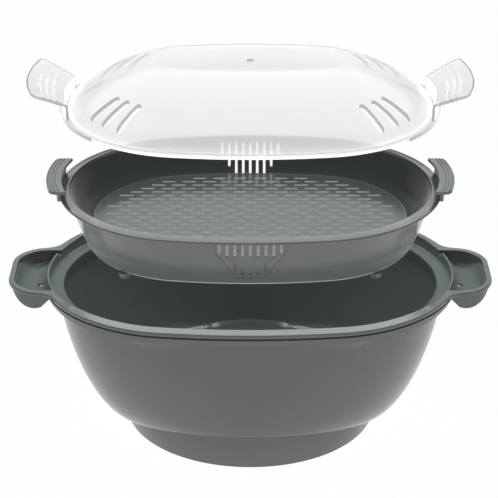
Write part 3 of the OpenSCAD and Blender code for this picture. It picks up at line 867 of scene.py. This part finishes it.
def grille_groove(side):
    """A cutter for the fine groove round a grille, laid along the tray wall's outside."""
    high, low = GRILLE_SHORT + 3.5, GRILLE_LONG + 6.9
    wide = (GRILLE_SLOTS - 1) / 2 * GRILLE_PITCH + 3.1
    narrow = GRILLE_PITCH + 3.9
    corners = [(-wide, 2.9), (-wide, high), (-narrow, low), (narrow, low), (wide, high), (wide, 2.9)]
    path = []
    for (x0, d0), (x1, d1) in zip(corners, corners[1:]):
        path += [(x0 + (x1 - x0) * i / 16, d0 + (d1 - d0) * i / 16) for i in range(16)]
    path.append(corners[-1])
    curve = bpy.data.curves.new("grille_groove", "CURVE")
    curve.dimensions = "3D"
    curve.bevel_depth = 0.45 * MM
    curve.bevel_resolution = 1
    curve.use_fill_caps = True
    spline = curve.splines.new("POLY")
    spline.points.add(len(path) - 1)
    for point, (x, depth) in zip(spline.points, path):
        down = max((depth - FLANGE_THICKNESS) / (TRAY_DEPTH - 1 - FLANGE_THICKNESS), 0)
        offset = tray_wall_point(TRAY_OUT - 1.6, GUTTER_OFFSET + 0.6, TRAY_DEPTH - 1, down)[0]
        y = math.sqrt((TRAY_PLAN[3] + offset) ** 2 - x ** 2) - TRAY_PLAN[1]
        point.co = (x * MM, side * y * MM, (TRAY_LIFTED - depth) * MM, 1)
    return mesh_from(new_object("grille_groove", curve), "grille_groove")


def make_tray_wall():
    steps = [1 - (1 - i / 28) ** 1.7 for i in range(29)]
    outer = [tray_wall_point(TRAY_OUT - 1.6, GUTTER_OFFSET + 0.6, TRAY_DEPTH - 1, d) for d in steps]
    outer.append((GUTTER_OFFSET - 0.4, -TRAY_DEPTH))
    inner = [tray_wall_point(TRAY_IN - 1.6, GUTTER_OFFSET - 1.6, TRAY_DEPTH - TRAY_WALL, d)
             for d in reversed(steps)]
    riser = rounded([(FLOOR_OFFSET + 1.8, -TRAY_DEPTH), (FLOOR_OFFSET, -TRAY_FLOOR_DEPTH - TRAY_FLOOR_PLATE),
                     (FLOOR_OFFSET, -TRAY_FLOOR_DEPTH + 0.5),
                     (FLOOR_OFFSET + TRAY_WALL, -TRAY_FLOOR_DEPTH + 0.5),
                     (FLOOR_OFFSET + 1.8 + TRAY_WALL, TRAY_WALL - TRAY_DEPTH)], 0.7, 3)
    wall = ring_body("tray_wall_skin", outer + riser + inner, TRAY_PLAN, TRAY_LIFTED)
    cutters = []
    for side in (-1, 1):
        start = new_object("grille_cutter", bpy.data.meshes.new("grille_cutter"))
        made = GRILLE_SLOTS_TREE.apply(
            start, GREY_PLASTIC, slots=GRILLE_SLOTS, pitch=GRILLE_PITCH * MM,
            slot_width=GRILLE_SLOT_WIDTH * MM, shortest=GRILLE_SHORT * MM, longest=GRILLE_LONG * MM,
            length_step=GRILLE_STEP * MM, depth=0.024)
        x = -(GRILLE_SLOTS - 1) / 2 * GRILLE_PITCH
        z = TRAY_LIFTED - FLANGE_THICKNESS - 1 - GRILLE_SLOT_WIDTH / 2
        y = side * (OVAL_HALF_WIDTH - 12)
        made.data.transform(Matrix.Translation((x * MM, y * MM, z * MM)))
        clean(made.data)
        cutters += [made, grille_groove(side)]
    return cut(wall, *cutters)


def make_tray_rim():
    profile = rounded([(FLANGE_OUT, -FLANGE_THICKNESS), (FLANGE_OUT, -RIM_SLOPE), (TRAY_IN, 0),
                       (TRAY_IN - 1.6, -FLANGE_THICKNESS)], 0.9)
    return ring_body("tray_rim_flange", profile, TRAY_PLAN, TRAY_LIFTED)


def make_tray_floor():
    end = OVAL_END_RADIUS + FLOOR_OFFSET - SLOT_EDGE
    places = slot_places(SLOT_ROWS, SLOT_PITCH / 2,
                         lambda y: END_CENTRE + math.sqrt(end ** 2 - y ** 2) - SLOT_LENGTH / 2)
    outline = [(x, y) for x, y, _ in level_ring(TRAY_PLAN, FLOOR_OFFSET, 0, 200)]
    bottom = TRAY_LIFTED - TRAY_FLOOR_DEPTH - TRAY_FLOOR_PLATE
    return slotted_plate("tray_floor_plate", outline, places, bottom, TRAY_FLOOR_PLATE, GREY_PLASTIC)


def make_grip(side):
    inside = FLANGE_OUT - 2.6
    bottom = GRIP_HEIGHT - GRIP_PLATE
    step = (GRIP_REACH - inside) / 4.6
    groove = ((0.55, 0), (0.25, -0.5), (-0.25, -0.5), (-0.55, 0))
    corner = 3.5

    def plate(share):
        left = GRIP_LENGTH / 2 * (1 - abs(share))
        cut_in = corner - math.sqrt(corner ** 2 - (corner - left) ** 2) if left < corner else 0
        out = GRIP_REACH - cut_in
        edge = 0.7
        top = [(out - edge, GRIP_HEIGHT)]
        for i in (4, 3, 2):
            x = inside + i * step
            top += [(x + w, GRIP_HEIGHT + z) for w, z in groove]
        top = [(min(x, out - edge), z) for x, z in top]
        return ([(inside, bottom), (out - edge, bottom), (out - 0.2, bottom + 0.2), (out, bottom + edge),
                 (out, GRIP_HEIGHT - edge), (out - 0.2, GRIP_HEIGHT - 0.2)] + top
                + [(inside + edge, GRIP_HEIGHT), (inside + 0.2, GRIP_HEIGHT - 0.2),
                   (inside, GRIP_HEIGHT - edge)])

    def upright(share):
        x = FLANGE_OUT + 0.05
        return rounded([(x, -FLANGE_THICKNESS), (x + GRIP_UPRIGHT, -FLANGE_THICKNESS),
                        (x + GRIP_UPRIGHT, bottom + 0.4), (x, bottom + 0.4)], 0.3, 2)

    name = "tray_grip_left_plate" if side < 0 else "tray_grip_right_plate"
    made = end_body(name, plate, side, TRAY_LIFTED, half_length=GRIP_LENGTH / 2)
    foot = end_body("grip_upright", upright, side, TRAY_LIFTED, half_length=GRIP_UPRIGHT_LENGTH / 2)
    return joined(made, foot)


def joined(obj, *others):
    """One object of several, each kept as its own closed shell."""
    bm = bmesh.new()
    bm.from_mesh(obj.data)
    for other in others:
        bm.from_mesh(other.data)
        bpy.data.objects.remove(other)
    bm.to_mesh(obj.data)
    bm.free()
    obj.data.shade_smooth()
    obj.data.set_sharp_from_angle(angle=math.radians(32))
    return obj


def make_stud(name, x, y):
    top = -TRAY_DEPTH
    profile = [(0.05, top - STUD_HEIGHT), (STUD_RADIUS - 1.6, top - STUD_HEIGHT),
               (STUD_RADIUS - 0.9, top - STUD_HEIGHT + 0.25), (STUD_RADIUS - 0.25, top - STUD_HEIGHT + 0.8),
               (STUD_RADIUS, top - STUD_HEIGHT + 1.6), (STUD_RADIUS, top + 0.2), (0.05, top + 0.2)]
    rings = [circle(r, TRAY_LIFTED + z, x, y, AROUND_ROUND) for r, z in profile]
    return mesh_object(name, *loft(rings, wrap=False))


# Lid

LID_OFFSET = FLANGE_OUT - 0.6 - LID_GAP
DOME_OFFSET = LID_OFFSET - LID_FLANGE_WIDTH


def dome_rise(share):
    return (1 - (1 - share) ** 1.5) ** (1 / 1.5)


def make_lid_dome():
    shares = [(i / 30) ** 1.7 for i in range(31)]
    outer = [(DOME_OFFSET - CROWN_INSET * s, LID_THICKNESS + (DOME_HEIGHT - LID_THICKNESS) * dome_rise(s))
             for s in shares]
    inner = [(DOME_OFFSET - LID_THICKNESS - (CROWN_INSET - LID_THICKNESS) * s,
              (DOME_HEIGHT - LID_THICKNESS) * dome_rise(s)) for s in shares]
    rings = [level_ring(TRAY_PLAN, o, LID_LIFTED + z) for o, z in reversed(inner)]
    rings += [level_ring(TRAY_PLAN, DOME_OFFSET, LID_LIFTED)]
    rings += [level_ring(TRAY_PLAN, o, LID_LIFTED + z) for o, z in outer]
    dome = mesh_object("lid_dome_shell", *loft(rings, wrap=False))
    mesh = bpy.data.meshes.new("steam_slot_cutters")
    places = [(sx * x, sy * y, math.radians(sx * sy * turn))
              for sx in (-1, 1) for sy in (-1, 1) for x, y, turn in STEAM_SLOTS]
    mesh.from_pydata([(x * MM, y * MM, (LID_LIFTED + 4) * MM) for x, y, _ in places], [], [])
    turns = mesh.attributes.new("turn", "FLOAT", "POINT")
    for i, place in enumerate(places):
        turns.data[i].value = place[2]
    slots = SLOT_CUTTERS.apply(new_object("steam_slot_cutters", mesh), CLEAR_PLASTIC,
                               slot_length=STEAM_SLOT_LENGTH * MM, slot_width=STEAM_SLOT_WIDTH * MM,
                               cut_height=DOME_HEIGHT * MM)
    clean(slots.data)
    top = LID_LIFTED + DOME_HEIGHT
    vent = hole_cutter("vent_cutter", VENT_DIAMETER, 0.0, -VENT_PLACE, top - 10, top + 10)
    return cut(dome, slots, vent)


def make_lid_flange():
    rib_out = DOME_OFFSET - 0.3
    rib_in = rib_out - 1.6
    web = DOME_OFFSET + 0.8
    bead = LID_OFFSET - 1.4
    profile = rounded([(rib_in, 0), (rib_in, -RIB_DEPTH), (rib_out, -RIB_DEPTH), (rib_out, -0.8), (web, -0.8),
                       (web, 0), (LID_OFFSET, 0), (LID_OFFSET, LID_THICKNESS + 0.8),
                       (bead, LID_THICKNESS + 0.8), (bead, LID_THICKNESS),
                       (DOME_OFFSET, LID_THICKNESS), (DOME_OFFSET, 0)], 0.4, 2)
    return ring_body("lid_flange_rim", profile, TRAY_PLAN, LID_LIFTED)


TAB_HALF_TURN = math.asin(TAB_WIDTH / 2 / (OVAL_END_RADIUS + LID_OFFSET))


def tab_out(turn):
    """How far out a tab's edge is, at a turn from the middle of its end."""
    centre = OVAL_HALF_LENGTH + TAB_REACH - TAB_EDGE_RADIUS - END_CENTRE
    edge = centre * math.cos(turn) + math.sqrt(TAB_EDGE_RADIUS ** 2 - (centre * math.sin(turn)) ** 2)
    out = min(TAB_REACH, edge - OVAL_END_RADIUS)
    left = max(TAB_WIDTH / 2 * (1 - abs(turn) / TAB_HALF_TURN), 0)
    if left < TAB_CORNER:
        out -= 0.7 * (TAB_CORNER - math.sqrt(TAB_CORNER ** 2 - (TAB_CORNER - left) ** 2))
    return out


def tab_edge_painted_shade(face):
    """The faces within a millimetre of a tab's edge, which get painted shade."""
    x, y, _ = face.center / MM
    turn = math.atan2(y, abs(x) - END_CENTRE)
    inward = OVAL_END_RADIUS + tab_out(turn) - math.hypot(abs(x) - END_CENTRE, y)
    return inward < 1 or abs(turn) > 0.975 * TAB_HALF_TURN


def make_tab(side):
    root = LID_OFFSET - 1.6 - LID_THICKNESS
    rise = TAB_RISE / (TAB_REACH - root)

    def at(x):
        return TAB_UPRIGHT + (x - root) * rise

    def profile(share):
        out = tab_out(TAB_HALF_TURN * share)
        top = [(out - 1.2, at(out - 1.2))]
        for ridge in (15, 10, 5):
            x = min(root + 4 + ridge, out - 2.2 - 0.4 * (15 - ridge))
            tall = 0.7 * min(max((out - root - 5 - ridge) / 3, 0), 1)
            top += [(x + w, at(x + w) + z) for w, z in ((0.9, 0), (0.4, tall), (-0.4, tall), (-0.9, 0))]
        return ([(root, LID_THICKNESS), (root + LID_THICKNESS, LID_THICKNESS),
                 (root + LID_THICKNESS, at(root + LID_THICKNESS) - LID_THICKNESS - 0.6),
                 (root + LID_THICKNESS + 0.8, at(root + LID_THICKNESS) - LID_THICKNESS),
                 (out - 0.4, at(out) - LID_THICKNESS), (out, at(out) - LID_THICKNESS + 0.4),
                 (out, at(out) - 0.4), (out - 0.4, at(out))]
                + top + [(root + 0.6, at(root)), (root, at(root) - 0.6)])

    name = "lid_tab_left_plate" if side < 0 else "lid_tab_right_plate"
    return end_body(name, profile, side, LID_LIFTED, half_angle=TAB_HALF_TURN)


# Pieces on their bodies

def dress_bowl():
    pieces = [(make_bowl_shell(), "bowl_shell"), (make_bowl_rim(), "bowl_rim"),
              (make_bowl_floor(), "bowl_floor"), (make_foot_ring(), "foot_ring"),
              (make_handle(-1), "handle_left"), (make_handle(1), "handle_right")]
    for obj, node in pieces:
        finish_piece(obj, node, "bowl", GREY_PLASTIC)
    return [obj for obj, _ in pieces]


def tray_painted_light_faces(face):
    """The bottom edge of the tray's wall, and the riser behind the grilles, which get painted light."""
    x, y, z = face.center / MM
    depth = TRAY_LIFTED - z
    if depth > TRAY_DEPTH - 1.2:
        return -0.95 < face.normal.z < -0.3
    inner = math.hypot(x, y) - reach(TRAY_PLAN, 0, math.atan2(y, x)) < FLOOR_OFFSET + 4.5
    return inner and face.normal.x * x + face.normal.y * y > 0 and depth > TRAY_FLOOR_DEPTH + 1


def dress_tray():
    pieces = [(make_tray_wall(), "tray_wall"), (make_tray_rim(), "tray_rim"),
              (make_tray_floor(), "tray_floor"), (make_grip(-1), "tray_grip_left"),
              (make_grip(1), "tray_grip_right")]
    stud_y = math.sqrt((OVAL_END_RADIUS + FLOOR_OFFSET + 6) ** 2 - (STUD_PLACE - END_CENTRE) ** 2)
    for row, y in (("front", -stud_y), ("back", stud_y)):
        for column, x in (("left", -STUD_PLACE), ("right", STUD_PLACE)):
            node = f"tray_stud_{row}_{column}"
            pieces.append((make_stud(node + "_foot", x, y), node))
    for obj, node in pieces:
        finish_piece(obj, node, "tray", GREY_PLASTIC)
    # Painted light: the tray wall's bottom edge and riser, and the floor's slot walls, get the lighter grey
    # in place of light from below.
    paint_faces_light_and_shade(pieces[0][0], GREY_PAINTED_LIGHT, tray_painted_light_faces)
    paint_faces_light_and_shade(pieces[2][0], GREY_PAINTED_LIGHT, lambda face: abs(face.normal.z) < 0.5)
    return [obj for obj, _ in pieces]


def lid_slot_walls_painted_shade(face):
    """The upright walls of the steam slots and the vent, which get painted shade."""
    return abs(face.normal.z) < 0.3 and face.center.z > (LID_LIFTED + 9) * MM


def dress_lid():
    pieces = [(make_lid_dome(), "lid_dome"), (make_lid_flange(), "lid_flange"),
              (make_tab(-1), "lid_tab_left"), (make_tab(1), "lid_tab_right")]
    for obj, node in pieces:
        finish_piece(obj, node, "lid", CLEAR_PLASTIC)
        obj.visible_diffuse = False
        obj.visible_shadow = False
    # Painted shade: the slot walls, the flange's upright faces and the tab edges get the dark clear plastic.
    paint_faces_light_and_shade(pieces[0][0], CLEAR_PAINTED_SHADE, lid_slot_walls_painted_shade)
    paint_faces_light_and_shade(pieces[1][0], CLEAR_PAINTED_SHADE, lambda face: abs(face.normal.z) < 0.5 and abs(face.center.x) > 0.12)
    for obj, _ in pieces[2:]:
        paint_faces_light_and_shade(obj, CLEAR_PAINTED_SHADE, tab_edge_painted_shade)
    return [obj for obj, _ in pieces]


bowl_pieces = dress_bowl()
tray_pieces = dress_tray()
lid_pieces = dress_lid()


# Studio

FLOOR_SIZE = 12.0
# Light that the paper itself gives, as on a lit shooting table
TABLE_GLOW = 0.88
# How far the paper shows as plain white rather than with its shadow
PAPER_WHITE = 0.9
# Light from the camera's side and from the other sides, and how bright the first looks when mirrored
FRONT_LIGHT = 0.43
BACK_LIGHT = 1.0
FRONT_MIRRORED = 0.15
CAMERA_PLACE = (-0.00105, -1.4724, 0.8302)
CAMERA_TILT = 65.0
CAMERA_LENS = 144.9


def make_floor():
    mesh = bpy.data.meshes.new("studio_floor")
    s = FLOOR_SIZE / 2
    mesh.from_pydata([(-s, -s, 0), (s, -s, 0), (s, s, 0), (-s, s, 0)], [], [(0, 1, 2, 3)])
    floor = new_object("studio_floor", mesh)
    material = bpy.data.materials.new("Studio paper")
    material.use_nodes = True
    nodes, links = material.node_tree.nodes, material.node_tree.links
    nodes.remove(nodes["Principled BSDF"])
    paper = nodes.new("ShaderNodeBsdfDiffuse")
    paper.inputs["Color"].default_value = (0.85, 0.85, 0.85, 1)
    white = nodes.new("ShaderNodeEmission")
    white.inputs["Strength"].default_value = 1.0
    path = nodes.new("ShaderNodeLightPath")
    seen = math_node(nodes, links, "MAXIMUM", path.outputs["Is Camera Ray"], path.outputs["Is Glossy Ray"])
    either = math_node(nodes, links, "MAXIMUM", seen, path.outputs["Is Transmission Ray"])
    share = math_node(nodes, links, "MULTIPLY", either, PAPER_WHITE)
    glow = nodes.new("ShaderNodeEmission")
    glow.inputs["Strength"].default_value = TABLE_GLOW
    lit = nodes.new("ShaderNodeAddShader")
    links.new(paper.outputs[0], lit.inputs[0])
    links.new(glow.outputs[0], lit.inputs[1])
    mix = nodes.new("ShaderNodeMixShader")
    links.new(share, mix.inputs[0])
    links.new(lit.outputs[0], mix.inputs[1])
    links.new(white.outputs[0], mix.inputs[2])
    links.new(mix.outputs[0], nodes["Material Output"].inputs["Surface"])
    mesh.materials.append(material)


def level_node(nodes, links, share, low, high):
    """A value between two levels."""
    made = nodes.new("ShaderNodeMapRange")
    made.inputs["To Min"].default_value = low
    made.inputs["To Max"].default_value = high
    links.new(share, made.inputs["Value"])
    return made.outputs[0]


def mix_node(nodes, links, share, a, b):
    """One of two values, by a share."""
    made = nodes.new("ShaderNodeMix")
    links.new(share, made.inputs["Factor"])
    links.new(a, made.inputs["A"])
    links.new(b, made.inputs["B"])
    return made.outputs["Result"]


def make_world():
    """White all round, darker on the side that the photo is taken from."""
    world = bpy.data.worlds.new("Studio")
    bpy.context.scene.world = world
    world.use_nodes = True
    nodes, links = world.node_tree.nodes, world.node_tree.links
    background = nodes["Background"]
    path = nodes.new("ShaderNodeLightPath")
    where = nodes.new("ShaderNodeTexCoord")
    split = nodes.new("ShaderNodeSeparateXYZ")
    links.new(where.outputs["Generated"], split.inputs[0])
    behind = nodes.new("ShaderNodeMapRange")
    behind.interpolation_type = "SMOOTHSTEP"
    behind.inputs["From Min"].default_value = -0.95
    behind.inputs["From Max"].default_value = -0.1
    links.new(split.outputs["Y"], behind.inputs["Value"])
    lighting = level_node(nodes, links, behind.outputs[0], FRONT_LIGHT, BACK_LIGHT)
    mirrored = level_node(nodes, links, behind.outputs[0], FRONT_MIRRORED, 1.0)
    shiny = mix_node(nodes, links, path.outputs["Is Glossy Ray"], lighting, mirrored)
    straight = math_node(nodes, links, "MAXIMUM", path.outputs["Is Camera Ray"],
                         path.outputs["Is Transmission Ray"])
    white = nodes.new("ShaderNodeValue")
    white.outputs[0].default_value = 1.0
    level = mix_node(nodes, links, straight, shiny, white.outputs[0])
    links.new(level, background.inputs["Strength"])


def soft_light(name, place, target, width, height, power, pieces, shaded_by=None, colour=(1, 1, 1)):
    """A soft box aimed at a point, which lights some pieces as if the others weren't there."""
    light = bpy.data.lights.new(name, "AREA")
    light.shape = "RECTANGLE"
    light.size = width
    light.size_y = height
    light.energy = power
    light.color = colour
    obj = bpy.data.objects.new(name, light)
    obj.location = place
    obj.rotation_euler = (Vector(target) - Vector(place)).to_track_quat("-Z", "Y").to_euler()
    bpy.context.scene.collection.objects.link(obj)
    obj.visible_camera = False
    lit = bpy.data.collections.new(name + "_lit")
    shading = bpy.data.collections.new(name + "_shading")
    for piece in pieces:
        lit.objects.link(piece)
    for piece in shaded_by or pieces:
        shading.objects.link(piece)
    obj.light_linking.receiver_collection = lit
    obj.light_linking.blocker_collection = shading


def make_camera():
    camera = bpy.data.cameras.new("photo_camera")
    camera.lens = CAMERA_LENS
    camera.sensor_width = 36
    obj = bpy.data.objects.new("photo_camera", camera)
    obj.location = CAMERA_PLACE
    obj.rotation_euler = (math.radians(CAMERA_TILT), 0, 0)
    bpy.context.scene.collection.objects.link(obj)
    bpy.context.scene.camera = obj


# The room's light has a faint green in it
SKY = (0.95, 1.0, 0.96)
BOWL_MIDDLE = (0, 0, 0.12)
TRAY_MIDDLE = (0, 0, 0.18)
LID_MIDDLE = (0, 0, 0.28)
UP = (0, 0, 1)
make_floor()
make_world()
soft_light("front_fill", (0.0, -2.2, 1.2), BOWL_MIDDLE, 2.4, 1.6, 8, bowl_pieces + lid_pieces)
soft_light("tray_fill", (0.0, -0.9, 1.7), TRAY_MIDDLE, 2.0, 1.0, 6, tray_pieces, None, SKY)
soft_light("bowl_softbox", (0.0, 0.6, 1.7), BOWL_MIDDLE, 2.2, 1.4, 45, bowl_pieces, None, SKY)
soft_light("tray_softbox", (0.0, 1.2, 1.6), TRAY_MIDDLE, 2.2, 1.2, 14, tray_pieces, None, SKY)
# Low panels behind, which the level tops mirror towards the camera
tray_floor = tray_pieces[2:3]
tray_rest = tray_pieces[:2] + tray_pieces[3:]
soft_light("tray_panel", (0.0, 2.2, 1.15), TRAY_MIDDLE, 3.2, 1.2, 17, tray_rest, tray_pieces, SKY)
soft_light("tray_floor_panel", (0.0, 2.2, 1.2), TRAY_MIDDLE, 0.8, 1.1, 3.4, tray_floor, tray_pieces, SKY)
soft_light("bowl_panel", (0.0, 2.2, 1.05), BOWL_MIDDLE, 3.2, 1.2, 1, bowl_pieces, None, SKY)
soft_light("rim_panel", (0.0, 2.2, 1.05), BOWL_MIDDLE, 3.2, 1.2, 6, bowl_pieces[1:2], bowl_pieces, SKY)
soft_light("lid_softbox", (0.0, 0.5, 1.7), LID_MIDDLE, 4.0, 2.4, 56, lid_pieces[:1] + lid_pieces[2:])
soft_light("flange_softbox", (0.0, 0.5, 1.7), LID_MIDDLE, 4.0, 2.4, 40, lid_pieces[1:2])
# The white table that each lifted piece stands on when it is shot alone
TRAY_TABLE = (TRAY_LIFTED - TRAY_DEPTH - STUD_HEIGHT - 2) * MM
soft_light("tray_table", (0, 0, TRAY_TABLE), UP, 1.0, 0.7, 0.42, tray_pieces, tray_floor)
soft_light("slot_table", (0, 0, TRAY_TABLE), UP, 1.0, 0.7, 2.0, tray_floor)
for side in (-1, 1):
    soft_light("tray_table_side", (side * 0.9, 0.9, -0.65), TRAY_MIDDLE, 1.4, 1.4, 8, tray_pieces)
soft_light("lid_table", (0, 0, LID_LIFTED * MM - 0.01), UP, 1.8, 1.6, 12, lid_pieces)
make_camera()
bpy.context.scene.view_settings.view_transform = "Standard"
